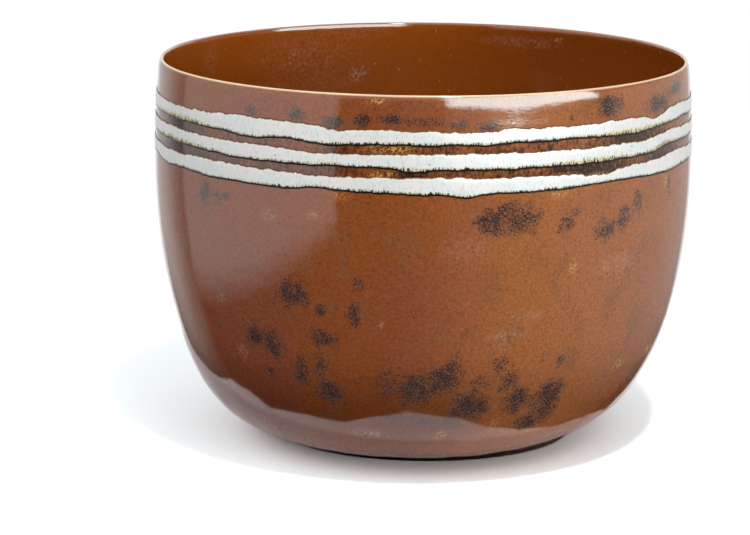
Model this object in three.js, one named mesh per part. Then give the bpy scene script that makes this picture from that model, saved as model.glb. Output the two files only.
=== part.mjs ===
// A wheel-thrown stoneware bowl: the fired clay with its turned foot ring, the coat of iron glaze
// that lies over it inside and out, and three bands of white glaze round the shoulder, each laid
// over the coat. Millimetres, +Z up, the origin on the table at the middle of the bowl.

import * as THREE from 'three';

// Sizes of the fired clay
const height = 192.4;
const bellyDiameter = 268.8;
const bellyDepth = 52.9; // from the top of the lip down to the widest place
const mouthInset = 2; // how far the shoulder draws in from the belly to the lip's rounding
const lipThickness = 1.8;
const lipRounding = 4; // height over which the lip thins to its crest
const wallThickness = 5.5; // at the belly
const floorThickness = 7.5; // above the hollow of the foot

// The turned foot ring
const footDiameter = 108;
const footWidth = 7; // of the ring's flat, with both chamfers
const footHeight = 2.6; // from the table to the underside of the body
const footHollow = 4.6; // from the table up to the clay inside the ring
const footTaper = 1; // how much narrower the ring is at the table than at the body, each side
const footChamfer = 0.4;

// The throw: the foot stands a little to one side of the mouth
const baseShift = -3.4;
const shiftHeight = 70; // below this height the body drifts over
const shiftPower = 1.5;

// The iron glaze
const glazeThickness = 0.6;
const glazeMargin = 2; // bare clay left between the foot ring and the glaze

// The white glaze bands, from the top down
const bandNames = ['upper', 'middle', 'lower'];
const firstBandDepth = 15.2; // from the top of the clay lip
const bandWidth = 6.6;
const bandGap = 4.7;
const bandLift = 0.45; // how far a band stands proud of the iron glaze
const edgeWander = 0.7; // how far a band's edge strays up or down
const edgeSag = 1; // a common depth of a sag
const edgeReach = 4; // more than any edge strays and sags in all

// Broad rises of the band edges, and sags where the rise is below 0: the number of the edge, the
// degrees round from the front towards +X, the rise as a share of the common depth and the half
// width in degrees. The back of the bowl has the same ones.
const edgeSags = [
  [0, -38, 0.9, 14], [0, 6, -0.8, 9], [0, 56, -1.6, 6], [0, 68, 1.2, 6],
  [1, -28, 1.1, 6], [1, 44, -1, 8], [1, 66, 0.9, 7],
  [2, -20, -0.8, 6], [2, 50, -0.9, 6], [2, 64, 1, 6],
  [3, -12, 0.8, 7], [3, 62, 1.2, 8],
  [4, -44, 0.9, 14], [4, 37, -1.6, 6], [4, 66, 1.2, 9],
  [5, -66, -1.2, 6], [5, -20, 0.8, 6], [5, 42, 1, 8],
];

// How full the curves are: a larger number is nearer to a square corner
const outerFullness = 5.68;
const innerFullness = 5.2;
const wallCurve = 1.862; // the belly's roundness seen from the side

// How finely the surfaces are cut into facets
const segments = 60;
const bellyRows = 12;
const floorRows = 9;
const shoulderRows = 3;
const lipRows = 6;

// Places that follow from the sizes
const bellyHeight = height - bellyDepth;
const lipStart = height - lipRounding;
const bellyRadius = bellyDiameter / 2;
const footRadius = footDiameter / 2;
const floorHeight = footHollow + floorThickness;
const firstEdge = height - firstBandDepth;
const bandStep = bandWidth + bandGap;
const lastEdge = firstEdge - bandStep * (bandNames.length - 1) - bandWidth;

// Share of the way from one value to another, held between 0 and 1.
function shareOf(value, from, to) {
  return THREE.MathUtils.clamp((value - from) / (to - from), 0, 1);
}

// Radius of a superellipse quarter that is upright at the belly and level at the bottom.
function bellyCurve(z, radius, bottom, fullness) {
  const down = (bellyHeight - z) / (bellyHeight - bottom);
  return radius * Math.max(0, 1 - down ** wallCurve) ** (1 / fullness);
}

// The heights of rows down that curve, at even angles of it, which spaces them evenly on the clay.
function bellyHeights(bottom, fullness, rows, endShare) {
  const lastAngle = Math.acos(endShare ** (fullness / 2));
  return Array.from({ length: rows + 1 }, (unused, i) => {
    const down = Math.sin((lastAngle * i) / rows) ** (2 / wallCurve);
    return bellyHeight - (bellyHeight - bottom) * down;
  });
}

// Outside of the clay: the belly curve, and above it a shoulder that draws in to the mouth.
function outerRadius(z) {
  if (z < bellyHeight) {
    return bellyCurve(z, bellyRadius, footHeight, outerFullness);
  }
  const up = (z - bellyHeight) / (lipStart - bellyHeight);
  return bellyRadius - mouthInset * up ** 2;
}

// Inside of the clay: above the belly the wall thins evenly and smoothly towards the lip.
function innerRadius(z) {
  if (z < bellyHeight) {
    return bellyCurve(z, bellyRadius - wallThickness, floorHeight, innerFullness);
  }
  const thinning = THREE.MathUtils.smoothstep(z, bellyHeight, lipStart);
  return outerRadius(z) - THREE.MathUtils.lerp(wallThickness, lipThickness, thinning);
}

// A point on a wall at height z, moved along the wall's normal, away from the axis if off > 0.
function onWall(radiusAt, z, off) {
  const probe = 1e-3;
  const slope = (radiusAt(z + probe) - radiusAt(z - probe)) / (2 * probe);
  const normal = new THREE.Vector2(1, -slope).normalize();
  const point = new THREE.Vector2(radiusAt(z), z).addScaledVector(normal, off);
  point.x = Math.max(0, point.x);
  return point;
}

const outside = (z, off) => onWall(outerRadius, z, off);
const inside = (z, off) => onWall(innerRadius, z, -off);

// A point of the lip, from its outer edge at angle 0 to its inner at PI. The lip is half an
// ellipse whose middle line leans in with the shoulder, so it flows on from both walls.
function lipPoint(angle) {
  const z = lipStart + lipRounding * Math.sin(angle);
  const inset = (lipThickness / 2) * (1 - Math.cos(angle));
  return new THREE.Vector2(outerRadius(z) - inset, z);
}

// A point of the lip, moved along its normal away from the clay.
function onLip(angle, off) {
  const probe = 1e-4;
  const along = lipPoint(angle + probe).sub(lipPoint(angle - probe));
  const normal = new THREE.Vector2(along.y, -along.x).normalize();
  return lipPoint(angle).addScaledVector(normal, off);
}

// How far edge number k of the bands strays upwards at an angle round the bowl.
function wander(k, angle) {
  const waves = [2, 3, 5, 8];
  const turn = 2.4; // radians by which each wave and edge is turned from the one before
  const sum = waves.reduce((total, count, i) => total + Math.sin(count * angle + turn * k * (i + 1)), 0);
  return (edgeWander * sum) / waves.length;
}

// How far edge number k rises at an angle: the sum of its rises and sags, each shaped like a bell.
function sag(k, angle) {
  const halfTurn = 180;
  const round = THREE.MathUtils.radToDeg(angle) + halfTurn / 2;
  return edgeSags.filter(([edge]) => edge === k).reduce((total, [, where, rise, halfWidth]) => {
    const apart = THREE.MathUtils.euclideanModulo(round - where + halfTurn / 2, halfTurn) - halfTurn / 2;
    return total + edgeSag * rise * Math.exp(-((apart / halfWidth) ** 2));
  }, 0);
}

// The height of edge number k on the clay wall: 0 is the top of the upper band, 1 its bottom.
function edgeHeight(k, angle) {
  const level = firstEdge - bandStep * Math.floor(k / 2) - bandWidth * (k % 2);
  return level + wander(k, angle) + sag(k, angle);
}

// Rows of the glazed surface from the glaze line up the outside, over the lip and down to the
// middle of the floor, standing off the clay. Each row gives its point for an angle.
function glazedRows(off, heights) {
  const rows = heights.map((z) => () => outside(z, off));
  for (let i = 1; i < lipRows; i += 1) {
    rows.push(() => onLip((Math.PI * i) / lipRows, off));
  }
  for (let i = 0; i < shoulderRows; i += 1) {
    const z = THREE.MathUtils.lerp(lipStart, bellyHeight, i / shoulderRows);
    rows.push(() => inside(z, off));
  }
  for (const z of bellyHeights(floorHeight, innerFullness, floorRows, 0)) {
    rows.push(() => inside(z, off));
  }
  return rows;
}

// Heights of the outside rows, from the glaze line up to where the lip starts to round.
function outsideHeights() {
  const lineShare = (footRadius + glazeMargin) / bellyRadius;
  const lower = bellyHeights(footHeight, outerFullness, bellyRows, lineShare).reverse();
  const upper = Array.from({ length: shoulderRows }, (unused, i) =>
    THREE.MathUtils.lerp(bellyHeight, lipStart, (i + 1) / shoulderRows));
  return [...lower, ...upper];
}

// Places a point of the section round the axis, and drifts the lower body to one side.
function place(point, angle) {
  const drift = baseShift * shareOf(point.y, shiftHeight, 0) ** shiftPower;
  return [point.x * Math.cos(angle) + drift, point.x * Math.sin(angle), point.y];
}

// Carries rows round the axis and joins them into one skin. Each four-sided face is cut from the
// lower row's point to the upper row's next point, whichever row comes first, so that two pieces
// with rows in common share every facet between them. The skin closes on the axis or on itself.
function turned(rows, closed = false) {
  const positions = [];
  for (const row of rows) {
    for (let i = 0; i < segments; i += 1) {
      const angle = (2 * Math.PI * i) / segments;
      positions.push(...place(row(angle), angle));
    }
  }
  const index = [];
  const strips = closed ? rows.length : rows.length - 1;
  for (let j = 0; j < strips; j += 1) {
    const next = (j + 1) % rows.length;
    const first = rows[j](0);
    const second = rows[next](0);
    const rising = second.y > first.y || (second.y === first.y && second.x > first.x);
    for (let i = 0; i < segments; i += 1) {
      const a = j * segments + i;
      const b = j * segments + ((i + 1) % segments);
      const c = next * segments + ((i + 1) % segments);
      const d = next * segments + i;
      index.push(...(rising ? [a, b, c, a, c, d] : [a, b, d, b, c, d]));
    }
  }
  const geometry = new THREE.BufferGeometry();
  geometry.setAttribute('position', new THREE.Float32BufferAttribute(positions, 3));
  geometry.setIndex(index);
  geometry.computeVertexNormals();
  return geometry;
}

// The fired clay: hollow of the foot, foot ring, bare margin, wall, lip, inside and floor.
function stonewareBody() {
  const ringOut = footRadius - footTaper;
  const ringIn = ringOut - footWidth;
  const foot = [
    [0, footHollow],
    [ringIn - footTaper, footHollow],
    [ringIn, footChamfer],
    [ringIn + footChamfer, 0],
    [ringOut - footChamfer, 0],
    [ringOut, footChamfer],
  ].map(([radius, z]) => new THREE.Vector2(radius, z));
  const bodyShare = footRadius / bellyRadius;
  const neck = outside(bellyHeights(footHeight, outerFullness, 1, bodyShare)[1], 0);
  const rows = [...foot, neck].map((point) => () => point);
  return turned([...rows, ...glazedRows(0, outsideHeights())]);
}

// The iron glaze: a skin with its back on the clay, open round the foot. Outside rows near the
// bands give way to the bands' own edges, so that the bands lie on whole facets.
function ironGlaze() {
  const back = glazedRows(0, outsideHeights()).reverse();
  const edges = bandNames.flatMap((name, k) => [2 * k, 2 * k + 1]);
  const plain = outsideHeights().filter((z) => z < lastEdge - edgeReach || z > firstEdge + edgeReach);
  const below = plain.filter((z) => z < lastEdge);
  const above = plain.filter((z) => z > firstEdge);
  const front = glazedRows(glazeThickness, [...below, ...above]);
  const bandRows = edges.map((k) => (angle) => outside(edgeHeight(k, angle), glazeThickness));
  front.splice(below.length, 0, ...bandRows.reverse());
  return turned([...back, ...front]);
}

// One band of white glaze: its back is the strip of iron glaze between its two edges, and its
// front swells quickly from each edge and is almost flat across the middle.
function whiteBand(k) {
  const across = [0, 0.12, 0.5, 0.88, 1]; // shares of the width, from the bottom edge to the top
  const rows = across.map((share) => (angle) => {
    const z = THREE.MathUtils.lerp(edgeHeight(2 * k + 1, angle), edgeHeight(2 * k, angle), share);
    const swell = (1 - (2 * share - 1) ** 4) * bandLift;
    return outside(z, glazeThickness + swell);
  });
  return turned(rows, true);
}

function piece(name, geometry, material) {
  const mesh = new THREE.Mesh(geometry, material);
  mesh.name = name;
  return mesh;
}

const clay = new THREE.MeshStandardMaterial({ color: 0x9c7a5b, roughness: 0.85, metalness: 0 });
const ironBrown = new THREE.MeshStandardMaterial({ color: 0x8a4515, roughness: 0.12, metalness: 0 });
const white = new THREE.MeshStandardMaterial({ color: 0xdde2de, roughness: 0.2, metalness: 0 });

const bowl = new THREE.Group();
bowl.add(piece('stoneware_body', stonewareBody(), clay));
bowl.add(piece('iron_glaze_coat', ironGlaze(), ironBrown));
bandNames.forEach((name, k) => bowl.add(piece(`white_band_${name}`, whiteBand(k), white)));

export default bowl;
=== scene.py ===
"""A wheel-thrown stoneware bowl with a glossy iron glaze and three white glaze bands, on a pale floor.

Laid out as an add-on: the sizes, glazes and stage are properties, and one operator makes each piece.
Lengths are metres in the bowl's own frame: +Z up, the floor at zero, the viewer at -Y.
"""

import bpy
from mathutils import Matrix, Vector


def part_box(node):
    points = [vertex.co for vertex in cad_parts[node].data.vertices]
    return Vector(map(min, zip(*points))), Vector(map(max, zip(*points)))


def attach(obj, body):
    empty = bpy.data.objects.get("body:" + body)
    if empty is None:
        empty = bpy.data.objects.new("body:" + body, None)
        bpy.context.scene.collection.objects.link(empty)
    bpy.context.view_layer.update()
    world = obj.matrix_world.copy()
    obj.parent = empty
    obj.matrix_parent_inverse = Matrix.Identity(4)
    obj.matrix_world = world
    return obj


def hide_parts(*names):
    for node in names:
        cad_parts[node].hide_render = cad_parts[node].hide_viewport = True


bl_info = {
    "name": "Banded Stoneware Bowl",
    "version": (1, 0, 0),
    "blender": (4, 5, 0),
    "location": "View3D > Sidebar > Bowl",
    "description": "Makes a glazed and banded stoneware bowl and its stage",
    "category": "Add Mesh",
}

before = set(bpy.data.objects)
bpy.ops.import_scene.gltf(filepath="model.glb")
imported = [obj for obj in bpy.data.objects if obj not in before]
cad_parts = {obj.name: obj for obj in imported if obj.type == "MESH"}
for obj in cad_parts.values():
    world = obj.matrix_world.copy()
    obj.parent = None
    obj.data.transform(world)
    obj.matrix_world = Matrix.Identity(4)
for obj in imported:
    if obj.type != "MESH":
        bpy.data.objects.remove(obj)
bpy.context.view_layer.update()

import math

import bpy
import numpy as np
from bpy.props import FloatProperty, FloatVectorProperty, PointerProperty
from mathutils import Matrix

MM = 0.001
TAU = 2 * math.pi
SHEET_SEEN = (1.72, 1.86, 1.91, 1)  # lets the lit sheet reach white, and evens out the bowl's warm cast
SHEET_MIRRORED = (1.4, 1.38, 1.45, 1)  # the same in the glaze, which mirrors it softly
SHEET_FADE = (0.22, 0.45)  # from the bowl's axis, where the sheet starts and ends to turn white

# What the frame gives: the clay's box and the box of the glaze that lies over it
CLAY_LOW, CLAY_HIGH = (np.array(corner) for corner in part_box("stoneware_body"))
GLAZE_HIGH = np.array(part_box("iron_glaze_coat")[1])
BANDS = ("upper", "middle", "lower")
# The shares at each point of the iron glaze's mesh that its material asks for. The pale and deep shares are
# painted light and shade, and the lip and scuff shares are partly painted light
GLAZE_MASKS = ("lip", "patch", "gold", "scuff_and_glint", "inside", "between", "pale", "deep")

# How finely the surfaces are cut
GLAZE_SEGMENTS = 352
BAND_SEGMENTS = 1800
CLAY_SEGMENTS = 240
BAND_ZONE_ROW = 1.1 * MM
WALL_ROW = 3.0 * MM
LIP_ROW = 0.3 * MM
CLAY_ROW = 6 * MM
CURVE_STEPS = 1500  # on each half of the belly's curve
SHOULDER_STEPS = 800
LIP_STEPS = 300

# Small forms that have no property of their own
TUCK = 0.03 * MM  # how far the clay's face lies under the glaze's back
GLAZE_MARGIN = 2 * MM  # from the foot ring to the start of the glazed section
GLAZE_START = 1 * MM  # from there to the middle of the glaze's wavering end
FOOT_TAPER = 1 * MM
FOOT_CHAMFER = 0.4 * MM
DRIFT_HEIGHT = 70 * MM  # below it the lower body drifts to one side
DRIFT_POWER = 1.5
EDGE_WANDER = 0.7 * MM
BAND_LINE = 0.7 * MM  # the dark line under a band lies outside the white

# Dark crystal patches in the glaze: degrees round from the front, height, half width and half
# height in millimetres, and how dense each is
PATCHES = (
    (-36, 182, 5, 2, 0.6), (-26, 182, 4, 3, 0.9), (-18, 179, 4, 3, 1.0), (-12, 181, 4, 3, 0.9),
    (-6, 182, 5, 2, 0.8), (0, 181, 10, 2, 0.7), (7, 180, 3, 2, 0.8), (13, 179, 5, 2, 0.8),
    (41, 184, 7, 4, 1.0), (57, 181, 9, 4, 1.0), (66, 186, 8, 3, 0.8), (31, 181, 1, 1, 1.0),
    (-50, 139, 4, 6, 1.0), (-45, 138, 6, 2, 0.7), (14, 134, 7, 5, 0.9), (17, 138, 9, 4, 0.8),
    (20, 135, 8, 6, 0.8), (30, 131, 4, 4, 0.7), (33, 135, 4, 2, 0.4), (40, 126, 6, 4, 0.8),
    (45, 130, 4, 5, 0.8), (49, 136, 3, 5, 0.7), (-27, 97, 7, 6, 0.9), (-13, 105, 3, 3, 0.5),
    (-14, 89, 3, 5, 0.9), (-21, 89, 2, 2, 0.8), (-38, 72, 6, 5, 0.9), (-33, 69, 5, 6, 0.9),
    (-21, 76, 7, 4, 0.8), (-35, 55, 2, 2, 0.8), (-27, 58, 4, 6, 0.9), (-22, 62, 3, 6, 0.7),
    (-20, 48, 7, 5, 0.9), (-7, 54, 6, 6, 0.5), (-1, 52, 7, 7, 1.0), (5, 57, 8, 7, 1.0),
    (7, 64, 3, 5, 0.9), (12, 43, 9, 7, 0.9), (8, 38, 5, 3, 0.9), (13, 55, 6, 3, 0.5),
    (17, 64, 4, 4, 0.6), (20, 56, 4, 6, 0.7), (23, 44, 7, 6, 0.9), (31, 44, 8, 8, 1.0),
    (28, 31, 8, 4, 0.9), (32, 35, 6, 4, 0.9), (32, 63, 2, 2, 0.8), (-6, 35, 7, 3, 0.6),
    (1, 35, 9, 3, 0.6), (8, 33, 6, 3, 0.7), (-49, 72, 1, 1, 1.0), (62, 140, 3, 5, 0.4),
)
# Where a band's edge sags or rises: the edge, 0 the top of the upper band and 1 its bottom, then
# degrees round from the front, the rise in millimetres and the half width in degrees
SAGS = (
    (0, -38, 0.9, 14), (0, -17, -1.3, 3), (0, 6, -0.8, 9), (0, 13, -0.9, 3), (0, 56, -2.3, 4),
    (0, 68, 1.2, 6), (1, -38, -0.9, 4), (1, -28, 1.1, 5), (1, -18, -1.3, 4), (1, 44, -1.0, 8),
    (1, 66, 0.9, 7), (2, -20, -0.8, 5), (2, 50, -0.9, 5), (2, 64, 1.0, 6), (3, -2, -1.3, 3),
    (3, -12, 0.8, 7), (3, 62, 1.2, 8), (4, -44, 0.9, 14), (4, 37, -1.9, 5), (4, 66, 1.2, 9),
    (5, 8, -2.0, 3), (5, -20, 0.8, 5), (5, -27, -0.6, 3), (5, 42, 1.0, 8), (5, -66, -1.2, 6),
)
# Heavy dark runs along a bottom edge: the edge, degrees round from the front, half width in
# degrees and how heavy
RUNS = (
    (1, -62, 14, 1.0), (3, -60, 16, 0.8), (1, -17, 4, 0.5), (1, 12, 4, 0.4), (1, 48, 12, 1.0),
    (3, -2, 4, 0.8), (3, 36, 12, 1.0), (3, 58, 8, 0.9), (5, 8, 4, 0.3), (1, 25, 5, 0.4),
)
# Thin golden breaks in the glaze: degrees round, height and half sizes in millimetres, strength
GOLD = (
    (-6, 168.5, 10, 2, 0.65), (32, 110, 1.8, 1.8, 1.0),
    (60, 143, 1.5, 2.5, 1.0), (52, 54, 5, 1.5, 0.8), (67, 55, 5, 3, 0.8), (6, 26, 3, 2, 0.7),
    (19, 32, 3, 1.5, 0.6), (37, 152, 6, 1.5, 0.9), (30, 154, 5, 1.2, 0.6),
    (-9, 190, 4, 1.2, 0.7), (-8, 156.5, 5, 1.5, 0.7), (-16, 146, 4, 1.2, 0.5), (28, 146, 5, 1.2, 0.6),
)
# Pale scuffs and specks, some of them painted glints on the lower left, as the golden breaks are given, and
# the same on the inner wall, where the wide faint hazes under the rim are painted reflections
SCUFFS_AND_GLINTS = (
    (18, 79, 9, 2.5, 0.35), (22, 88, 8, 2.5, 0.3), (17, 75, 4, 2, 0.4), (-8, 84, 1, 1, 1.0),
    (-47, 88, 2, 1.2, 0.8), (-22, 137, 3, 1.2, 0.7), (-43, 62, 3, 3, 0.4), (44, 108, 12, 4, 0.3),
    (-32, 134, 4, 2, 0.5), (9, 122, 10, 5, 0.2), (-12, 26, 9, 2, 0.5),
)
SCUFFS_AND_SHEEN_INSIDE = (
    (-164, 165, 5, 3, 0.6), (-147, 178, 2, 1.5, 0.6), (-150, 176, 30, 12, 0.14),
    (-162, 187, 20, 3, 0.14), (155, 184, 22, 3, 0.2), (146, 187, 3, 1.2, 0.7),
    (-150, 160, 30, 6, 0.12), (-120, 182, 6, 9, 0.12),
)


def sizes():
    """The scene's sizes."""
    return bpy.context.scene.bowl_sizes


def glazes():
    """The scene's colours of clay and glaze."""
    return bpy.context.scene.bowl_glazes


def studio():
    """The scene's camera and lights."""
    return bpy.context.scene.bowl_studio


def linear(code):
    """Linear RGBA of an sRGB hex code."""
    parts = np.array([int(code[k:k + 2], 16) for k in (1, 3, 5)]) / 255
    values = np.where(parts <= 0.04045, parts / 12.92, ((parts + 0.055) / 1.055) ** 2.4)
    return (*values.tolist(), 1.0)


def a_length(name, description, default):
    """A property for a length in metres."""
    return FloatProperty(
        name=name, description=description, default=default, unit="LENGTH", subtype="DISTANCE")


def a_colour(name, description, code):
    """A property for a colour, from its sRGB hex code."""
    return FloatVectorProperty(
        name=name, description=description, default=linear(code), size=4, subtype="COLOR")


def an_angle(name, description, degrees):
    """A property for an angle, from degrees."""
    return FloatProperty(name=name, description=description, default=math.radians(degrees),
                         unit="ROTATION", subtype="ANGLE")


def a_level(name, description, default):
    """A property for the strength of a light."""
    return FloatProperty(name=name, description=description, default=default)


class BowlSizes(bpy.types.PropertyGroup):
    """Sizes of the thrown form, its foot and its bands."""

    height: a_length("Height", "From the floor to the top of the clay lip", float(CLAY_HIGH[2]))
    belly_radius: a_length(
        "Belly radius", "Of the clay at its widest place", float(CLAY_HIGH[0] - CLAY_LOW[0]) / 2)
    belly_depth: a_length("Belly depth", "From the clay lip down to the widest place", 52.9 * MM)
    mouth_inset: a_length("Mouth inset", "How far the shoulder draws in to the lip", 2.0 * MM)
    wall: a_length("Wall", "Thickness of the clay at the belly", 5.5 * MM)
    lip: a_length("Lip", "Thickness of the clay where its rounding starts", 1.8 * MM)
    lip_rounding: a_length("Lip rounding", "Height over which the lip thins to its crest", 4.0 * MM)
    foot_radius: a_length("Foot radius", "Of the foot ring where it meets the body", 54.0 * MM)
    foot_width: a_length("Foot width", "Across the ring where it stands", 7.0 * MM)
    foot_height: a_length("Foot height", "From the floor to the underside of the body", 2.6 * MM)
    foot_hollow: a_length("Foot hollow", "From the floor up to the clay inside the ring", 4.6 * MM)
    floor: a_length("Floor", "Thickness of the clay above the hollow of the foot", 7.5 * MM)
    glaze: a_length("Glaze", "Thickness of the iron glaze", float(GLAZE_HIGH[2] - CLAY_HIGH[2]))
    base_shift: a_length("Base shift", "How far the foot stands to one side of the mouth", -3.4 * MM)
    first_band: a_length("First band", "From the clay lip down to the upper band", 15.2 * MM)
    band_width: a_length("Band width", "Height of each white band", 6.6 * MM)
    band_gap: a_length("Band gap", "Iron glaze showing between two bands", 4.7 * MM)
    band_lift: a_length("Band lift", "How far a band stands proud of the iron glaze", 0.4 * MM)


def belly_height():
    """Height of the widest place."""
    return sizes().height - sizes().belly_depth


def lip_start():
    """Height at which the lip starts to round."""
    return sizes().height - sizes().lip_rounding


def share_of(value, start, end):
    """Share of the way from start to end, held between 0 and 1."""
    return np.clip((value - start) / (end - start), 0, 1)


def smooth(value, start, end):
    """That share eased at both ends: three times its square less twice its cube."""
    share = share_of(value, start, end)
    return share * share * (3 - 2 * share)


# How full the curves are: a larger number is nearer to a square corner
OUTER_FULLNESS = 5.68
INNER_FULLNESS = 5.2
WALL_CURVE = 1.862


def belly_curve(radius, bottom, fullness, end_radius):
    """Points down a belly, from upright to level: at a share d of the way down, the radius is the
    full one times the fullness root of one less d to the wall curve. Half the points step evenly
    in height down the wall and half in radius across the bottom."""
    turn = 0.8 * radius
    depth = belly_height() - bottom
    turn_share = (1 - (turn / radius) ** fullness) ** (1 / WALL_CURVE)
    down = np.linspace(0, turn_share, CURVE_STEPS)
    wall = radius * (1 - down ** WALL_CURVE) ** (1 / fullness)
    across = np.linspace(turn, end_radius, CURVE_STEPS)[1:]
    under = (1 - (across / radius) ** fullness) ** (1 / WALL_CURVE)
    return np.append(wall, across), belly_height() - depth * np.append(down, under)


def shoulder(z):
    """Radius above the belly: it draws in with the square of the height."""
    up = (z - belly_height()) / (lip_start() - belly_height())
    return sizes().belly_radius - sizes().mouth_inset * up ** 2


def glazed_section():
    """The clay surface that the glaze covers, as radii, heights, distances along it and the
    outward normal: under the belly from the glaze line, up the wall, over the lip, which is half
    an ellipse that follows the shoulder, and down the inside to the middle of the floor."""
    s = sizes()
    line = s.foot_radius + GLAZE_MARGIN
    radius, z = belly_curve(s.belly_radius, s.foot_height, OUTER_FULLNESS, line)
    up = np.linspace(belly_height(), lip_start(), SHOULDER_STEPS)[1:]
    turn = np.linspace(0, np.pi, LIP_STEPS)[1:]
    over = lip_start() + s.lip_rounding * np.sin(turn)
    lip = shoulder(over) - s.lip / 2 * (1 - np.cos(turn))
    down = np.linspace(lip_start(), belly_height(), SHOULDER_STEPS)[1:]
    thinning = smooth(down, belly_height(), lip_start())
    inside = shoulder(down) - (s.wall + (s.lip - s.wall) * thinning)
    floor = s.foot_hollow + s.floor
    inner = belly_curve(s.belly_radius - s.wall, floor, INNER_FULLNESS, 0)
    radius = np.concatenate([radius[::-1], shoulder(up), lip, inside, inner[0][1:]])
    z = np.concatenate([z[::-1], up, over, down, inner[1][1:]])
    along = np.append(0, np.cumsum(np.hypot(np.diff(radius), np.diff(z))))
    tangent = np.array([np.gradient(radius, along), np.gradient(z, along)])
    tangent /= np.hypot(*tangent)
    return radius, z, along, tangent[1], -tangent[0]


def drift(z):
    """The sideways shift of the lower body: the base shift times the share of the way down to the
    floor, raised to a power, so that it grows towards the foot."""
    return sizes().base_shift * share_of(z, DRIFT_HEIGHT, 0) ** DRIFT_POWER


def ring_noise(turn, count, seed):
    """Smooth noise round the bowl: random values at even places, joined by half cosine waves, so
    that it closes on itself."""
    values = np.random.default_rng(seed).uniform(-1, 1, count)
    place = turn / TAU * count
    low = np.floor(place).astype(int)
    ease = (1 - np.cos(np.pi * (place - low))) / 2
    return values[low % count] * (1 - ease) + values[(low + 1) % count] * ease


def azimuth(turn):
    """Degrees round from the front, positive to the viewer's right, for an angle from +X."""
    return (np.degrees(turn) + 270) % 360 - 180


def apart(degrees, place):
    """How many degrees lie between two places round the bowl."""
    return (degrees - place + 180) % 360 - 180


def blobs(turn, z, places, mirrored=True):
    """The strongest of some soft ellipses on the wall, as shares: each fades with the distance from
    its middle, counted in its half width and half height. Mirrored, the unseen half of the bowl
    has the same ones, turned by half a turn and a little lower."""
    result = np.zeros(np.broadcast(turn, z).shape)
    halves = ((0, 0.0), (180, -2 * MM)) if mirrored else ((0, 0.0),)
    for half, lower in halves:
        for place, height, wide, tall, strength in places:
            across = np.radians(apart(azimuth(turn), place + half)) * sizes().belly_radius
            reach = np.hypot(across / (wide * MM), (z - height * MM - lower) / (tall * MM))
            result = np.maximum(result, strength * (1 - smooth(reach, 0.4, 1.7)))
    return result


def place_rows(radius, z, turn):
    """Carries radii and heights round the axis and drifts the lower body: x is the radius times
    the cosine of the angle, plus the drift, and y the radius times its sine."""
    x = radius * np.cos(turn) + drift(z)
    return np.stack(np.broadcast_arrays(x, radius * np.sin(turn), z), -1)


def new_object(name, data):
    """A new object with this mesh or camera."""
    made = bpy.data.objects.new(name, data)
    bpy.context.scene.collection.objects.link(made)
    return made


def skin(name, points, poles=None, attributes=None, sharp=180):
    """A closed mesh from a grid of points, rows by places round. With poles, a point each closes
    the first and last row, and without, the last row joins the first. Quads join neighbours in
    both directions, and are turned round if the volume they hold comes out negative."""
    rows, count = points.shape[:2]
    strips = rows - 1 if poles else rows
    j, i = np.meshgrid(np.arange(strips), np.arange(count), indexing="ij")
    after = (i + 1) % count
    above = (j + 1) % rows
    quads = np.stack([j * count + i, j * count + after, above * count + after, above * count + i], -1)
    faces = quads.reshape(-1, 4)
    flat = points.reshape(-1, 3)
    a, b, c, d = (flat[faces[:, k]] for k in range(4))
    volume = np.sum(np.cross(a, b) * c + np.cross(a, c) * d)
    polygons = faces.tolist()
    if poles:
        ring = np.arange(count)
        turned = np.roll(ring, -1)
        tip, last_row = np.full(count, len(flat)), (rows - 1) * count
        polygons += np.stack([tip, turned, ring], -1).tolist()
        polygons += np.stack([tip + 1, last_row + ring, last_row + turned], -1).tolist()
        flat = np.vstack([flat, poles])
    if volume < 0:
        polygons = [polygon[::-1] for polygon in polygons]
    mesh = bpy.data.meshes.new(name)
    mesh.from_pydata(flat, [], polygons)
    mesh.polygons.foreach_set("use_smooth", np.ones(len(polygons), bool))
    if sharp < 180:
        mesh.set_sharp_from_angle(angle=math.radians(sharp))
    for key, values in (attributes or {}).items():
        values = np.broadcast_to(values, (rows, count)).ravel()
        values = np.append(values, np.zeros(len(flat) - len(values)))
        mesh.attributes.new(key, "FLOAT", "POINT").data.foreach_set("value", values)
    mesh.update()
    mesh.validate()
    return new_object(name, mesh)


def settle(piece, replaced, material):
    """Puts a finished piece in the place of its CAD node, with its material."""
    piece.data.materials.append(material)
    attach(piece, "root")
    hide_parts(replaced)


def per(size):
    """The scale of a texture on Object coordinates whose cells are that many millimetres."""
    return 1 / (size * MM)


def node(tree, kind, inputs=None, output=0, **settings):
    """Adds a node with its own settings, sets or links its inputs by name or number, and gives
    back one of its outputs."""
    made = tree.nodes.new("ShaderNode" + kind)
    for key, value in settings.items():
        setattr(made, key, value)
    for key, value in (inputs or {}).items():
        if isinstance(value, bpy.types.NodeSocket):
            tree.links.new(value, made.inputs[key])
        else:
            made.inputs[key].default_value = value
    return made.outputs[output] if made.outputs else None


def new_material(name):
    """An empty material and its node tree."""
    material = bpy.data.materials.new(name)
    material.use_nodes = True
    material.node_tree.nodes.clear()
    return material, material.node_tree


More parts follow.
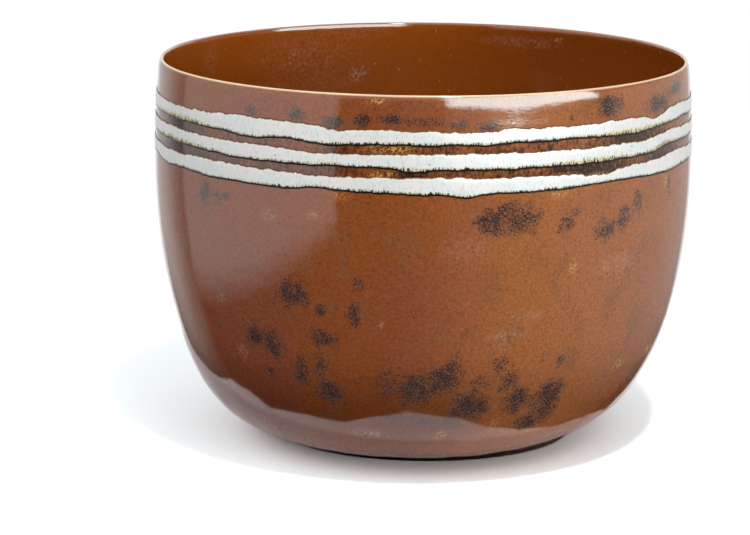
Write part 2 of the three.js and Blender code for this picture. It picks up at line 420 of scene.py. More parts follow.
class GlazeColours(bpy.types.PropertyGroup):
    """Colours of the clay and the glazes."""

    iron: a_colour("Iron glaze", "Where the glaze is thick and even", "#8a4b25")
    iron_red: a_colour("Iron glaze, red", "Where more iron came to the surface", "#874a30")
    # Painted light: the paler colour laid on the right front, where the lights fall on the glaze
    iron_pale_lit: a_colour("Iron glaze, pale", "Where the glaze is thinner and nearer to orange", "#a2653c")
    iron_inside: a_colour("Iron glaze, inside", "Inside, where the glaze lies thickest", "#924b14")
    crystal: a_colour("Crystals", "Dark crystals that float in patches", "#242026")
    gold: a_colour("Thin glaze", "Where the glaze breaks thin over the lip", "#d9ab62")
    thin_lip: a_colour("Lip", "Where the glaze drains to a thin film over the lip", "#f0d9ae")
    white: a_colour("White glaze", "The bands", "#e6e4e1")
    clay: a_colour("Clay", "The bare foot", "#a5825f")


def iron_glaze_material():
    """Iron-saturated stoneware glaze, poured and fired in reduction. It is glassy and transparent
    brown over dark clay, so it is deep and saturated with sharp reflections. Its colour drifts over
    hands' widths, fine mottle and faint streaks run down it, dark crystals float in stippled
    patches, and it breaks to gold where it is thin."""
    material, tree = new_material("iron_glaze_glassy_brown")
    colours = glazes()
    masks = {name: node(tree, "Attribute", attribute_name=name, output="Fac") for name in GLAZE_MASKS}
    place = node(tree, "TexCoord", output="Object")
    hanging = node(tree, "Mapping", {"Vector": place, "Scale": (1, 1, 0.15)})
    pores = node(tree, "Mapping", {"Vector": place, "Scale": (1, 1, 0.65)})

    # Each noise has its cell in millimetres and its detail, and goes from one range over to another
    noises = {
        "drift": (place, 60, 2, 0.4, 0.62, 0, 1, "SMOOTHSTEP"),
        "dull": (place, 14, 4, 0.48, 0.75, 0, 0.5, "SMOOTHSTEP"),
        "mottle": (place, 1.2, 4, 0.32, 0.68, 0.78, 1.2, "LINEAR"),
        "streaks": (hanging, 1.1, 3, 0.3, 0.7, 0.96, 1.04, "LINEAR"),
        "smears": (pores, 1.5, 4, 0.35, 0.65, -0.55, 0.3, "LINEAR"),
        "flecks": (place, 1.1, 2, 0.46, 0.6, 0, 1, "SMOOTHSTEP"),
        "cloud": (place, 5, 3, 0.3, 0.7, -0.35, 0.35, "LINEAR"),
        "haze_and_glint": (place, 1.6, 5, 0.42, 0.68, 0, 1, "LINEAR"),
    }
    spread = {}
    for name, (vector, cell, detail, low, high, least, most, ease) in noises.items():
        noise = node(tree, "TexNoise", {"Vector": vector, "Scale": per(cell), "Detail": detail})
        spread[name] = node(tree, "MapRange", {
            "Value": noise, "From Min": low, "From Max": high, "To Min": least, "To Max": most,
        }, interpolation_type=ease)

    # The broad drift from orange to red-brown, a paler side painted as light on the right front, duller
    # clouds and the inside
    body = colours.iron
    for share, colour in ((spread["drift"], colours.iron_red), (masks["pale"], colours.iron_pale_lit),
                          (spread["dull"], linear("#7c553c")), (masks["inside"], colours.iron_inside)):
        body = node(tree, "MixRGB", {"Fac": share, "Color1": body, "Color2": colour})
    # Fine mottle and faint streaks, less inside, and painted shade: darker low on the wall, most at the
    # left, and on the right of the inside
    shade = node(tree, "Math", {0: spread["streaks"], 1: spread["mottle"]}, operation="MULTIPLY")
    grain = node(tree, "CombineColor", {0: shade, 1: shade, 2: shade})
    grained = node(tree, "MapRange", {"Value": masks["inside"], "To Min": 1.0, "To Max": 0.5})
    for share, colour in ((grained, grain), (masks["deep"], (0.55, 0.5, 0.5, 1))):
        body = node(tree, "MixRGB", {"Fac": share, "Color1": body, "Color2": colour},
                    blend_type="MULTIPLY")
    # Between the bands the glazes have run together, in dark smears that close where it is heavy
    smears = node(tree, "Math", {0: masks["between"], 1: 1.4, 2: spread["smears"]},
                  operation="MULTIPLY_ADD", use_clamp=True)
    inner = node(tree, "MapRange", {"Value": masks["between"], "From Max": 0.1})
    smears = node(tree, "Math", {0: smears, 1: inner}, operation="MULTIPLY")
    # Thin golden breaks, and pale scuffs, some of them painted glints and reflections
    flecks = node(tree, "Math", {0: spread["flecks"], 1: masks["gold"]}, operation="MULTIPLY")
    haze_and_glint = node(tree, "Math", {0: spread["haze_and_glint"], 1: masks["scuff_and_glint"]}, operation="MULTIPLY")
    # Dark crystals, a little taller than wide, in clouds that thin to their rims. The real ones
    # are finer than half a millimetre and are drawn as coarse as they need to show
    density = node(tree, "Math", {0: masks["patch"], 1: spread["cloud"]}, operation="ADD")
    density = node(tree, "MapRange", {"Value": density, "From Min": 0.1, "From Max": 1.0})
    inner = node(tree, "MapRange", {"Value": masks["patch"], "From Max": 0.15})
    density = node(tree, "Math", {0: density, 1: inner}, operation="MULTIPLY")
    tint = node(tree, "Math", {0: density, 1: 0.6}, operation="MULTIPLY")
    specks = node(tree, "TexNoise", {"Vector": pores, "Scale": per(0.5), "Detail": 1.0})
    specks = node(tree, "Math", {0: density, 1: 0.2, 2: specks}, operation="MULTIPLY_ADD")
    dots = node(tree, "MapRange", {"Value": specks, "From Min": 0.59, "From Max": 0.66})
    rims = node(tree, "MapRange", {"Value": density, "From Max": 0.12, "To Max": 0.85})
    dots = node(tree, "Math", {0: dots, 1: rims}, operation="MULTIPLY")
    # Small specks strewn over the glaze, black outside and pale inside
    strewn = node(tree, "TexVoronoi", {"Vector": place, "Scale": per(7)}, output="Distance")
    strewn = node(tree, "MapRange", {
        "Value": strewn, "From Min": 0.06, "From Max": 0.1, "To Min": 0.6, "To Max": 0.0})
    speck = node(tree, "MixRGB", {
        "Fac": masks["inside"], "Color1": linear("#3a241c"), "Color2": linear("#b58a58")})
    # All these are laid on in order, and last the thin film over the lip
    for share, colour in ((smears, linear("#35231c")), (flecks, colours.gold), (tint, linear("#66544c")),
                          (dots, colours.crystal), (haze_and_glint, linear("#c2a494")), (strewn, speck),
                          (masks["lip"], colours.thin_lip)):
        body = node(tree, "MixRGB", {"Fac": share, "Color1": body, "Color2": colour})

    fine = node(tree, "TexNoise", {"Vector": place, "Scale": per(1.1)})
    broad = node(tree, "TexNoise", {"Vector": place, "Scale": per(9), "Detail": 1.0})
    bump = node(tree, "Bump", {"Height": fine, "Distance": 0.028 * MM})
    bump = node(tree, "Bump", {"Height": broad, "Distance": 0.05 * MM, "Normal": bump})
    roughness = node(tree, "MapRange", {"Value": dots, "To Min": 0.08, "To Max": 0.12})
    shader = node(tree, "BsdfPrincipled", {
        "Base Color": body, "Roughness": roughness, "IOR": 1.6, "Normal": bump})
    node(tree, "OutputMaterial", {"Surface": shader})
    return material


def white_glaze_material():
    """Opaque white glaze, trailed on while the bowl turned. It is cool and a little blue where it
    is thick, with fine crackle and pinholes. The iron bleeds in at its edges: a thin brown line
    above, a black line with hairs below, and a yellow halo where the run is heavy."""
    material, tree = new_material("white_glaze_trailed")
    top, bottom, heavy = (node(tree, "Attribute", attribute_name=name, output="Fac")
                          for name in ("below_top", "above_bottom", "heavy"))
    place = node(tree, "TexCoord", output="Object")
    tall = node(tree, "Mapping", {"Vector": place, "Scale": (1, 1, 0.3)})

    # Bluish clouds, crackle in hair lines that are finer than they are drawn, how patchy the upper
    # halo is, and the hairs, given as the iron glaze's noises are
    spread = []
    for vector, cell, detail, low, high, least, most in (
            (place, 12, 2, 0.35, 0.7, 0, 1), (tall, 0.7, 1, 0.54, 0.68, 0, 0.35),
            (place, 6, 2, 0.4, 0.65, 0.2, 0.9), (tall, 0.6, 2, 0.46, 0.72, 0, 1)):
        noise = node(tree, "TexNoise", {"Vector": vector, "Scale": per(cell), "Detail": detail})
        spread.append(node(tree, "MapRange", {
            "Value": noise, "From Min": low, "From Max": high, "To Min": least, "To Max": most}))
    bluish, crackle, patchy, hair = spread
    fray = node(tree, "TexNoise", {"Vector": tall, "Scale": per(0.9), "Detail": 3.0})
    pits = node(tree, "TexVoronoi", {"Vector": place, "Scale": per(9)}, output="Distance")
    # Millimetres from an edge, made ragged: the halo and the brown line at the top edge, and the
    # yellow halo and the black line with its hairs at the bottom edge
    drop = node(tree, "Math", {0: heavy, 1: -2.2, 2: bottom}, operation="MULTIPLY_ADD")
    cream, brown, yellow = (
        node(tree, "Math", {0: fray, 1: ragged, 2: edge}, operation="MULTIPLY_ADD")
        for ragged, edge in ((0.9, top), (0.6, top), (1.6, drop)))
    length = node(tree, "MapRange", {"Value": heavy, "To Min": 0.8, "To Max": 3.2})
    reach = node(tree, "Math", {0: hair, 1: length, 2: 0.82}, operation="MULTIPLY_ADD")
    black = node(tree, "Math", {0: bottom, 1: reach}, operation="SUBTRACT")
    # Each is full up to one distance and fades to nothing at another
    spread = []
    for value, near, far, full in ((pits, 0.035, 0.06, 0.8), (cream, 0.9, 1.7, 1.0),
                                   (brown, 0.65, 0.95, 1.0), (yellow, 0.2, 2.2, 0.85),
                                   (black, -0.15, 0.15, 1.0)):
        spread.append(node(tree, "MapRange", {
            "Value": value, "From Min": near, "From Max": far, "To Min": full, "To Max": 0.0}))
    pits, cream, brown, yellow, black = spread
    cream = node(tree, "Math", {0: cream, 1: patchy}, operation="MULTIPLY")

    body = glazes().white
    for share, code in ((bluish, "#dbe1e0"), (crackle, "#aab3ad"), (pits, "#3c342c"),
                        (cream, "#dfc48c"), (yellow, "#cfc37c"), (brown, "#4e2712"),
                        (black, "#1a120f")):
        body = node(tree, "MixRGB", {"Fac": share, "Color1": body, "Color2": linear(code)})
    ripple = node(tree, "TexNoise", {"Vector": tall, "Scale": per(0.8)})
    bump = node(tree, "Bump", {"Height": ripple, "Distance": 0.02 * MM})
    shader = node(tree, "BsdfPrincipled", {
        "Base Color": body, "Roughness": 0.3, "IOR": 1.5, "Normal": bump})
    node(tree, "OutputMaterial", {"Surface": shader})
    return material


def clay_material():
    """Bare stoneware at the turned foot, fired to a warm buff. It is dry and matte, with iron
    specks and the fine rings that the turning tool leaves."""
    material, tree = new_material("stoneware_turned_clay")
    place = node(tree, "TexCoord", output="Object")
    grit = node(tree, "TexNoise", {"Vector": place, "Scale": per(0.8), "Detail": 3.0})
    body = node(tree, "MixRGB", {
        "Fac": grit, "Color1": glazes().clay, "Color2": linear("#8b6746")})
    specks = node(tree, "TexVoronoi", {"Vector": place, "Scale": per(3)}, output="Distance")
    dark = node(tree, "MapRange", {
        "Value": specks, "From Min": 0.08, "From Max": 0.16, "To Min": 0.8, "To Max": 0.0})
    body = node(tree, "MixRGB", {"Fac": dark, "Color1": body, "Color2": linear("#4a2f1e")})
    rings = node(tree, "TexWave", {"Vector": place, "Scale": per(6), "Distortion": 1.5},
                 output="Fac", wave_type="RINGS", rings_direction="Z")
    bump = node(tree, "Bump", {"Height": rings, "Distance": 0.08 * MM})
    bump = node(tree, "Bump", {"Height": grit, "Distance": 0.05 * MM, "Normal": bump})
    shader = node(tree, "BsdfPrincipled", {
        "Base Color": body, "Roughness": 0.85, "Normal": bump})
    node(tree, "OutputMaterial", {"Surface": shader})
    return material


def even_rows(stretches):
    """Distances along the section for rows of points, without its end. Each stretch ends at a
    distance of its own and is cut into even steps of about its own length."""
    marks = [0.0]
    for end, step in stretches:
        count = max(1, round((end - marks[-1]) / step))
        marks.extend(np.linspace(marks[-1], end, count + 1)[1:])
    return np.array(marks)[:-1]


def on_section(section, along, off):
    """Radius and height of points at distances along the section, moved off it by its normal."""
    radius, z, marks, normal_out, normal_up = section
    reach = np.interp(along, marks, normal_out) * off
    rise = np.interp(along, marks, normal_up) * off
    return np.maximum(np.interp(along, marks, radius) + reach, 0), np.interp(along, marks, z) + rise


def hollows(turn, along):
    """How far the glaze dips below its full thickness, as a sum of sine waves: throwing rings 9 mm
    apart, and dents a tenth or two of a millimetre deep, which make the reflections waver."""
    rings = 1 + np.sin(TAU * along / (9 * MM) + 1.5 * np.sin(turn + 1))
    dents = 2 + np.sin(3 * turn + along / (30 * MM)) + np.sin(7 * turn - along / (21 * MM) + 2)
    ripples = 2 + np.sin(19 * turn + along / (11 * MM)) + np.sin(31 * turn - along / (8 * MM) + 1)
    low = 1 - smooth(along, 50 * MM, 110 * MM)
    return MM * (0.012 * rings + (0.035 + 0.02 * low) * dents + (0.01 + 0.055 * low) * ripples)


class BOWL_OT_clay(bpy.types.Operator):
    """Makes the fired clay: the turned foot ring, its hollow and the body under the glaze"""

    bl_idname = "bowl.clay"
    bl_label = "Clay body"

    def execute(self, context):
        s = sizes()
        section = glazed_section()
        radius, z = on_section(section, even_rows([(section[2][-1], CLAY_ROW)]), -TUCK)
        ring_out = s.foot_radius - FOOT_TAPER
        ring_in = ring_out - s.foot_width
        # The hollow has fine rings 4 mm apart from turning
        inward = np.linspace(2 * MM, ring_in - 2 * MM, 24)
        turning = 0.08 * MM * np.sin(TAU * inward / (4 * MM))
        hollow = np.append(s.foot_hollow + turning, s.foot_hollow)
        bevel, nick = FOOT_CHAMFER, FOOT_CHAMFER / 4
        foot = [
            (ring_in - bevel, s.foot_hollow - 0.6 * MM),
            (ring_in, bevel), (ring_in + nick, nick), (ring_in + bevel, 0),
            (ring_out - bevel, 0), (ring_out - nick, nick), (ring_out, bevel),
            (s.foot_radius - 0.2 * MM, s.foot_height - 0.5 * MM), (s.foot_radius, s.foot_height),
        ]
        foot_radius, foot_z = np.array(foot).T
        radius = np.concatenate([inward, [ring_in - 1 * MM], foot_radius, radius])
        z = np.concatenate([hollow, foot_z, z])
        turn = TAU * np.arange(CLAY_SEGMENTS) / CLAY_SEGMENTS
        points = place_rows(radius[:, None], z[:, None], turn[None, :])
        top = s.foot_hollow + s.floor - TUCK
        poles = [(drift(z[0]), 0, s.foot_hollow), (drift(top), 0, top)]
        piece = skin("clay_body", points, poles, sharp=35)
        settle(piece, "stoneware_body", clay_material())
        return {"FINISHED"}


def glaze_masks(turn, along, crest, height, radius):
    """The shares in GLAZE_MASKS at each point of the iron glaze's face, from its angle, its
    distance along the section, its height and its radius."""
    outside = along < crest
    lip = np.abs(along + GLAZE_START - crest)
    between = np.zeros(height.shape)
    for k, plain in ((0, 0.12), (1, 0.25)):
        above, below = edge_height(2 * k + 1, turn), edge_height(2 * k + 2, turn)
        gap = smooth(height, below - 1 * MM, below) * (1 - smooth(height, above, above + 1 * MM))
        between += gap * (plain + (0.9 - plain) * run_weight(2 * k + 1, turn))
    # Painted light and shade: the right front is painted paler where the light falls on it, the low wall is
    # painted darker, most at the left, and the right inside is painted darker too
    about = azimuth(turn)
    pale = 0.85 * smooth(about, -8, 22) * (1 - 0.25 * smooth(about, 34, 60))
    pale *= 1 - smooth(about, 110, 170)
    # Painted shade low on the wall, less towards the right front
    deep = (1 - smooth(height, 34 * MM, 72 * MM)) * smooth(height, 10 * MM, 32 * MM)
    deep *= 1 - 0.6 * smooth(about, 0, 30)
    # Painted shade inside: darker towards the right, where less light falls
    shaded = 0.7 * smooth(radius * np.cos(turn), -20 * MM, 90 * MM)
    shaded = shaded * smooth(height, 60 * MM, 110 * MM)
    # Partly painted light: the glaze does drain thin over the lip, but the film is painted full at the
    # front and faint at the back, to give the bright front lip and the duller back
    drained_and_lit = 0.42 - 0.55 * np.sin(turn) + 0.15 * ring_noise(turn, 40, 9)
    # Pale marks inside; the wide faint hazes under the rim among them are painted reflections
    inner = blobs(turn, height, SCUFFS_AND_SHEEN_INSIDE, mirrored=False)
    masks = (
        (1 - smooth(lip, 0.3 * MM, 0.95 * MM)) * np.clip(drained_and_lit, 0.1, 1),
        blobs(turn, height, PATCHES) * outside,
        blobs(turn, height, GOLD) * outside,
        np.where(outside, blobs(turn, height, SCUFFS_AND_GLINTS), inner),
        1.0 - outside,
        between * outside,
        pale * outside,
        np.where(outside, deep, shaded),
    )
    return {key: np.broadcast_to(mask, height.shape) for key, mask in zip(GLAZE_MASKS, masks)}


class BOWL_OT_iron_glaze(bpy.types.Operator):
    """Makes the coat of iron glaze, a closed skin over the clay inside and out"""

    bl_idname = "bowl.iron_glaze"
    bl_label = "Iron glaze"

    def execute(self, context):
        s = sizes()
        section = glazed_section()
        _, z, marks, _, _ = section
        crest = marks[np.argmax(z)]
        up = marks < crest
        bands_foot = s.height - s.first_band - 3 * s.band_width - 2 * s.band_gap - 4 * MM
        bands_head = s.height - s.first_band + 4 * MM
        bands_low, bands_high, lip_low = np.interp([bands_foot, bands_head, lip_start()], z[up], marks[up])
        lip_in, bands_in, end = 2 * crest - lip_low, 2 * crest - bands_high, marks[-1]
        front = even_rows([
            (4 * MM, 0.5 * MM), (bands_low, WALL_ROW), (bands_high, BAND_ZONE_ROW),
            (lip_low, 1.5 * MM), (lip_in, LIP_ROW), (bands_in, 2 * MM), (end, WALL_ROW)])
        back = even_rows([(bands_low, 12 * MM), (lip_low, 6 * MM), (lip_in, 0.8 * MM), (end, 12 * MM)])
        turn = (TAU * np.arange(GLAZE_SEGMENTS) / GLAZE_SEGMENTS)[None, :]
        # The glaze ends above the foot in a wavering line, and thins out towards it
        run = 0.9 * MM * (ring_noise(turn, 14, 3) + 0.4 * ring_noise(turn, 47, 4))
        thickness = s.glaze * smooth(front, -1 * MM, 2 * MM)[:, None] - hollows(turn, front[:, None])
        thickness *= smooth(front, -0.5 * MM, 1 * MM)[:, None]

        def rows(along, off):
            along = along[:, None]
            return on_section(section, along + run * np.exp(-along / (6 * MM)) + GLAZE_START, off)

        back_radius, back_z = rows(back, 0.0)
        radius, height = rows(front, thickness)
        points = place_rows(np.vstack([back_radius[::-1], radius]), np.vstack([back_z[::-1], height]), turn)
        low = s.foot_hollow + s.floor
        poles = [(drift(low), 0, low), (drift(low), 0, low + s.glaze - 0.1 * MM)]
        masks = glaze_masks(turn, front[:, None], crest, height, radius)
        attributes = {key: np.vstack([0 * back_z, mask]) for key, mask in masks.items()}
        piece = skin("iron_glaze", points, poles, attributes)
        settle(piece, "iron_glaze_coat", iron_glaze_material())
        return {"FINISHED"}


def run_weight(edge, turn):
    """How heavily the iron runs along a bottom edge, from 0 to 1: faint and uneven all round, with
    the heavy runs over it as bell curves, the same on both halves of the bowl."""
    weight = 0.22 + 0.18 * ring_noise(turn, 50, 70 + edge)
    for half in (0, 180):
        for number, place, wide, full in RUNS:
            if number == edge:
                bell = np.exp(-(apart(azimuth(turn), place + half) / wide) ** 2)
                weight = np.maximum(weight, full * bell)
    return weight


def wander(edge, turn):
    """The broad stray of a band edge: four sines round the bowl, each turned from the last."""
    total = sum(np.sin(count * turn + 2.4 * edge * (i + 1)) for i, count in enumerate((2, 3, 5, 8)))
    return EDGE_WANDER / 4 * total


def edge_height(edge, turn):
    """Height of a band edge: its level, the broad stray, the sags, and a fine fray that is
    rougher along the top edges."""
    s = sizes()
    level = s.height - s.first_band - (s.band_width + s.band_gap) * (edge // 2)
    level -= s.band_width * (edge % 2)
    sags = np.zeros_like(turn)
    for half in (0, 180):
        for number, place, rise, wide in SAGS:
            if number == edge:
                sags += rise * MM * np.exp(-(apart(azimuth(turn), place + half) / wide) ** 2)
    rough = 0.28 * MM if edge % 2 == 0 else 0.16 * MM
    fray = rough * (ring_noise(turn, 330, 20 + edge) + ring_noise(turn, 750, 30 + edge))
    slow = 0.28 * MM * (ring_noise(turn, 60, 40 + edge) + ring_noise(turn, 130, 60 + edge))
    return level + wander(edge, turn) + sags + fray + slow


class BOWL_OT_white_bands(bpy.types.Operator):
    """Makes the three white glaze bands, each a closed ring that lies on the iron glaze"""

    bl_idname = "bowl.white_bands"
    bl_label = "White bands"

    def execute(self, context):
        s = sizes()
        material = white_glaze_material()
        turn = (TAU * np.arange(BAND_SEGMENTS) / BAND_SEGMENTS)[None, :]
        across = np.array([0, 0.03, 0.07, 0.13, 0.22, 0.36, 0.5, 0.64, 0.78, 0.87, 0.93, 0.97, 1])
        for k, name in enumerate(BANDS):
            top = edge_height(2 * k, turn) + 0.3 * MM
            bottom = edge_height(2 * k + 1, turn) - BAND_LINE
            height = bottom + (top - bottom) * across[:, None]
            # Flat over most of its width: the lift times one less a high power of the way to an edge
            swell = (1 - np.abs(2 * across - 1) ** 7)[:, None] * s.band_lift
            swell = swell - 0.03 * MM * (1 + ring_noise(turn, 90, 50 + k))
            sunk = np.full((2, BAND_SEGMENTS), s.glaze - 0.3 * MM)
            z = np.vstack([height, height[[9, 3]]])
            off = np.vstack([s.glaze + np.maximum(swell, -0.1 * MM), sunk])
            probe = 0.01 * MM
            slope = (shoulder(z + probe) - shoulder(z - probe)) / (2 * probe)
            reach = off / np.sqrt(1 + slope ** 2)
            points = place_rows(shoulder(z) + reach, z - slope * reach, turn)
            attributes = {
                "below_top": (top - z) / MM,
                "above_bottom": (z - bottom) / MM,
                "heavy": run_weight(2 * k + 1, turn),
            }
            piece = skin(f"white_glaze_{name}", points, attributes=attributes)
            settle(piece, f"white_band_{name}", material)
        return {"FINISHED"}


class StudioSettings(bpy.types.PropertyGroup):
    """The camera and the lights."""

    distance: a_length("Distance", "From the bowl's axis to the camera, over the floor", 1.3)
    eye_height: a_length("Eye height", "Of the camera above the floor", 0.3745)
    focal_length: FloatProperty(
        name="Focal length", description="On a film 36 mm wide",
        default=124.9, unit="CAMERA", subtype="DISTANCE_CAMERA")
    pitch: an_angle("Pitch", "How far the camera looks down", 12.62)
    yaw: an_angle("Yaw", "How far the camera looks to the left", 1.05)
    roll: an_angle("Roll", "How far the camera leans", 0.32)
    ambient: a_level("Ambient", "Strength of the even light from all round", 0.45)
    key: a_level("Key", "Radiance of the light at the right front", 13.0)
    key_glint: a_level("Key glint", "Radiance of the key light's reflection", 11.5)
    side_fill: a_level("Side light", "Radiance of the tall light at the left", 1.6)
    side_glint: a_level("Side glint", "Radiance of the side light's reflection", 1.35)
    top: a_level("Top light", "Radiance of the small light overhead", 190.0)
    front: a_level("Front light", "Radiance of the wide light high at the right front", 1.6)
    right_card: a_level("Right card", "Radiance of the pale card at the right", 0.66)
    left_card: a_level("Left card", "Radiance of the card behind the side light", 0.8)


def stage_piece(name, points, material, faces=()):
    """A mesh of the stage. Without faces, it is one flat face with these corners."""
    mesh = bpy.data.meshes.new(name)
    mesh.from_pydata(points, [], faces or [list(range(len(points)))])
    mesh.materials.append(material)
    piece = new_object(name, mesh)
    return piece


def upright(first, last, low, high):
    """Corners of an upright panel between two places on the ground."""
    return [(*first, low), (*last, low), (*last, high), (*first, high)]


def light_panel(name, corners, radiance, fades=(), mirrored=False, colour=(1, 1, 1, 1)):
    """A plane that glows and that the camera doesn't see. Each fade goes along an axis from nothing
    at one place to full at another. A mirrored one shows in reflections and sheds no light."""
    material, tree = new_material(name)
    place = node(tree, "TexCoord", output="Object")
    level = radiance
    for axis, nothing, full in fades:
        along = node(tree, "SeparateXYZ", {0: place}, output=axis)
        share = node(tree, "MapRange", {"Value": along, "From Min": nothing, "From Max": full},
                     interpolation_type="SMOOTHSTEP")
        level = node(tree, "Math", {0: share, 1: level}, operation="MULTIPLY")
    glow = node(tree, "Emission", {"Color": colour, "Strength": level})
    node(tree, "OutputMaterial", {"Surface": glow})
    piece = stage_piece(name, corners, material)
    piece.visible_camera = False
    piece.visible_diffuse = not mirrored
    piece.visible_shadow = not mirrored


def seen_rays(tree):
    """1 for rays from the eye, straight or by way of the glaze, and 0 for rays of light."""
    kinds = [node(tree, "LightPath", output=f"Is {kind} Ray")
             for kind in ("Camera", "Glossy", "Transmission")]
    seen = node(tree, "Math", {0: kinds[0], 1: kinds[1]}, operation="ADD")
    return node(tree, "Math", {0: seen, 1: kinds[2]}, operation="ADD", use_clamp=True)


def sheet_material():
    """A matte white sheet. Where it is seen, by the eye or in the glaze, it is as white as the
    background with the bowl's shadow on it, and away from the bowl it goes over into that white."""
    material, tree = new_material("white_sheet")
    seen = seen_rays(tree)
    colour = node(tree, "MixRGB", {"Fac": seen, "Color1": (0.6, 0.6, 0.6, 1), "Color2": SHEET_MIRRORED})
    camera = node(tree, "LightPath", output="Is Camera Ray")
    colour = node(tree, "MixRGB", {"Fac": camera, "Color1": colour, "Color2": SHEET_SEEN})
    sheet = node(tree, "BsdfDiffuse", {"Color": colour})
    place = node(tree, "TexCoord", output="Object")
    away = node(tree, "VectorMath", {0: place}, operation="LENGTH", output="Value")
    far = node(tree, "MapRange", {"Value": away, "From Min": SHEET_FADE[0], "From Max": SHEET_FADE[1]},
               interpolation_type="SMOOTHSTEP")
    far = node(tree, "Math", {0: far, 1: seen}, operation="MULTIPLY")
    white = node(tree, "Emission")
    shader = node(tree, "MixShader", {0: far, 1: sheet, 2: white})
    node(tree, "OutputMaterial", {"Surface": shader})
    return material


def set_world(strength):
    """A white world. It lights the bowl gently, and where it is seen its strength is 1."""
    world = bpy.data.worlds.new("white_surround")
    bpy.context.scene.world = world
    world.use_nodes = True
    tree = world.node_tree
    tree.nodes.clear()
    level = node(tree, "MapRange", {"Value": seen_rays(tree), "To Min": strength})
    glow = node(tree, "Background", {"Color": (1, 1, 1, 1), "Strength": level})
    node(tree, "OutputWorld", {"Surface": glow})


def dark_room():
    """The dark studio, open at the top and the back. The camera doesn't see it, but the glaze
    mirrors it, and so stays deep in front."""
    material, tree = new_material("dark_cloth")
    shader = node(tree, "BsdfDiffuse", {"Color": (0.01, 0.01, 0.01, 1)})
    node(tree, "OutputMaterial", {"Surface": shader})
    low, high, near, far, side = -1.2, 1.3, -2.8, 2.2, 2.4
    walls = {
        "dark_ground": [(-side, near, low), (side, near, low), (side, far, low), (-side, far, low)],
        "dark_front": upright((-side, near), (side, near), low, high),
        "dark_left": upright((-side, near), (-side, far), low, high),
        "dark_right": upright((side, near), (side, far), low, high),
    }
    for name, corners in walls.items():
        stage_piece(name, corners, material).visible_camera = False
    # A low ring under the belly keeps light from the sides away from the foot
    wide, deep, height, count = 76 * MM, 65 * MM, 3.6 * MM, 48
    turn = TAU * np.arange(count) / count
    around = np.stack([wide * np.cos(turn) + 1 * MM, deep * np.sin(turn), 0 * turn], -1)
    points = np.vstack([around, around + (0, 0, height)])
    sides = [(i, (i + 1) % count, count + (i + 1) % count, count + i) for i in range(count)]
    ring = stage_piece("dark_ring", points, material, sides)
    ring.visible_camera = False
    ring.visible_glossy = False


def set_camera():
    """The camera in front of the bowl: it leans by its roll, is tipped down from level by its
    pitch, and then turned by its yaw."""
    s = studio()
    data = bpy.data.cameras.new("photo_view")
    data.sensor_fit = "HORIZONTAL"
    data.sensor_width = 36
    data.lens = s.focal_length
    data.clip_start = 0.05
    camera = new_object("photo_view", data)
    camera.matrix_world = (
        Matrix.Translation((0, -s.distance, s.eye_height)) @ Matrix.Rotation(s.yaw, 4, "Z")
        @ Matrix.Rotation(math.pi / 2 - s.pitch, 4, "X") @ Matrix.Rotation(s.roll, 4, "Z"))
    bpy.context.scene.camera = camera


def low_outline(reach, top):
    """Corners of a low wide light at the right front, square to the bowl, from degrees round and
    degrees above the lip. Its lower edge comes down to a blunt point just under the lip."""
    middle = 40
    outline = ((38, -1.6), (58, 0.8), (76, 1.6), (75, top), (9, top), (10, 1.4), (20, 0.8))
    corners = []
    for place, rise in outline:
        away = reach / math.cos(math.radians(place - middle))
        height = sizes().height + away * math.tan(math.radians(rise))
        turn = math.radians(place)
        corners.append((away * math.sin(turn), -away * math.cos(turn), height))
    return corners


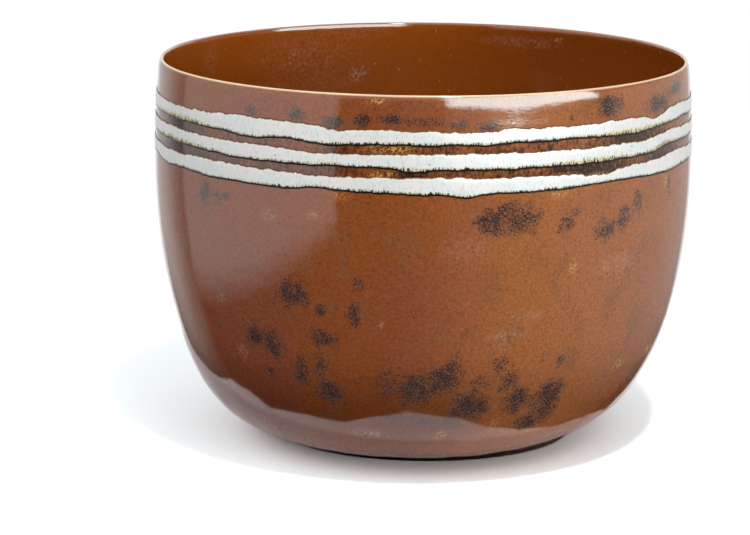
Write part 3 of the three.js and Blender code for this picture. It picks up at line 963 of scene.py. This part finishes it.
class BOWL_OT_stage(bpy.types.Operator):
    """Makes the floor, the lights, the dark studio and the camera"""

    bl_idname = "bowl.stage"
    bl_label = "Stage"

    def execute(self, context):
        s = studio()
        sheet = sheet_material()
        below = -0.05 * MM
        # The low wall of the bowl mirrors this uneven edge of the sheet, in millimetres
        rim = ((-300, 400), (-185, 115), (-165, 35), (-145, -20), (-145, -40), (-125, -65),
               (-100, -75), (-75, -100), (-50, -110), (-30, -125), (-10, -135), (25, -125),
               (65, -85), (85, -60), (100, -40), (110, 10), (150, 120), (260, 400))
        stage_piece("table_top", [(x * MM, y * MM, below) for x, y in rim], sheet)
        edge, low = 0.7, 2 * below
        outer = [(-edge, -edge, low), (edge, -edge, low), (edge, edge, low), (-edge, edge, low)]
        stage_piece("floor_round_about", outer, sheet).visible_glossy = False
        set_world(s.ambient)
        dark_room()
        light_panel("side_light", upright((-0.91, -1.31), (-0.91, 0.42), 0.3, 1.3), s.side_fill)
        light_panel("side_glint", upright((-0.9, -1.31), (-0.9, 0.42), -0.3, 1.0), s.side_glint,
                    [("Y", 1.4, -0.4), ("Z", -0.34, -0.16)], mirrored=True)
        light_panel("left_card", upright((-0.9, 0.42), (-0.9, 2.1), -1.0, 1.0), s.left_card,
                    [("Y", 0.1, 1.0), ("Z", -0.75, -0.2)])
        card = [(0.9, -1.2, -1.1), (0.9, 2.1, -1.1), (0.9, 2.1, 0.35), (0.9, -0.2, 0.35),
                (0.9, -0.2, 0.12), (0.9, -1.2, 0.12)]
        light_panel("right_card", card, s.right_card, [("Y", -1.2, 0.3), ("Z", -1.0, 0.0)])
        top = [(0.15, -0.75, 1.6), (0.15, -0.6, 1.6), (0.3, -0.6, 1.6), (0.3, -0.75, 1.6)]
        light_panel("top_light", top, s.top)
        front = [(0.3, -1.9, 1.5), (1.7, -1.1, 1.5), (1.5, -0.7, 2.3), (0.1, -1.5, 2.3)]
        light_panel("front_light", front, s.front)
        light_panel("key_light", low_outline(1.81, 5), s.key)
        light_panel("key_glint", low_outline(1.8, 32), s.key_glint, mirrored=True,
                    colour=(0.8, 0.97, 1, 1))
        set_camera()
        context.scene.view_settings.view_transform = "Standard"
        return {"FINISHED"}


class BOWL_PT_panel(bpy.types.Panel):
    """Lists the makers of the bowl's pieces and its sizes"""

    bl_idname = "BOWL_PT_panel"
    bl_label = "Stoneware bowl"
    bl_space_type = "VIEW_3D"
    bl_region_type = "UI"
    bl_category = "Bowl"

    def draw(self, context):
        layout = self.layout
        for maker in MAKERS:
            layout.operator(maker.bl_idname)
        for group in (sizes(), glazes(), studio()):
            column = layout.column(align=True)
            for key in group.__annotations__:
                column.prop(group, key)


MAKERS = (BOWL_OT_clay, BOWL_OT_iron_glaze, BOWL_OT_white_bands, BOWL_OT_stage)
GROUPS = {"bowl_sizes": BowlSizes, "bowl_glazes": GlazeColours, "bowl_studio": StudioSettings}


def register():
    """Registers the classes and puts the property groups on the scene."""
    for made in (*GROUPS.values(), *MAKERS, BOWL_PT_panel):
        bpy.utils.register_class(made)
    for name, group in GROUPS.items():
        setattr(bpy.types.Scene, name, PointerProperty(type=group))


def unregister():
    """Takes the property groups and the classes away again."""
    for name in GROUPS:
        delattr(bpy.types.Scene, name)
    for made in (BOWL_PT_panel, *reversed(MAKERS), *reversed(tuple(GROUPS.values()))):
        bpy.utils.unregister_class(made)


def main():
    """Registers the add-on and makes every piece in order."""
    register()
    bpy.ops.bowl.clay()
    bpy.ops.bowl.iron_glaze()
    bpy.ops.bowl.white_bands()
    bpy.ops.bowl.stage()


if __name__ == "__main__":
    main()
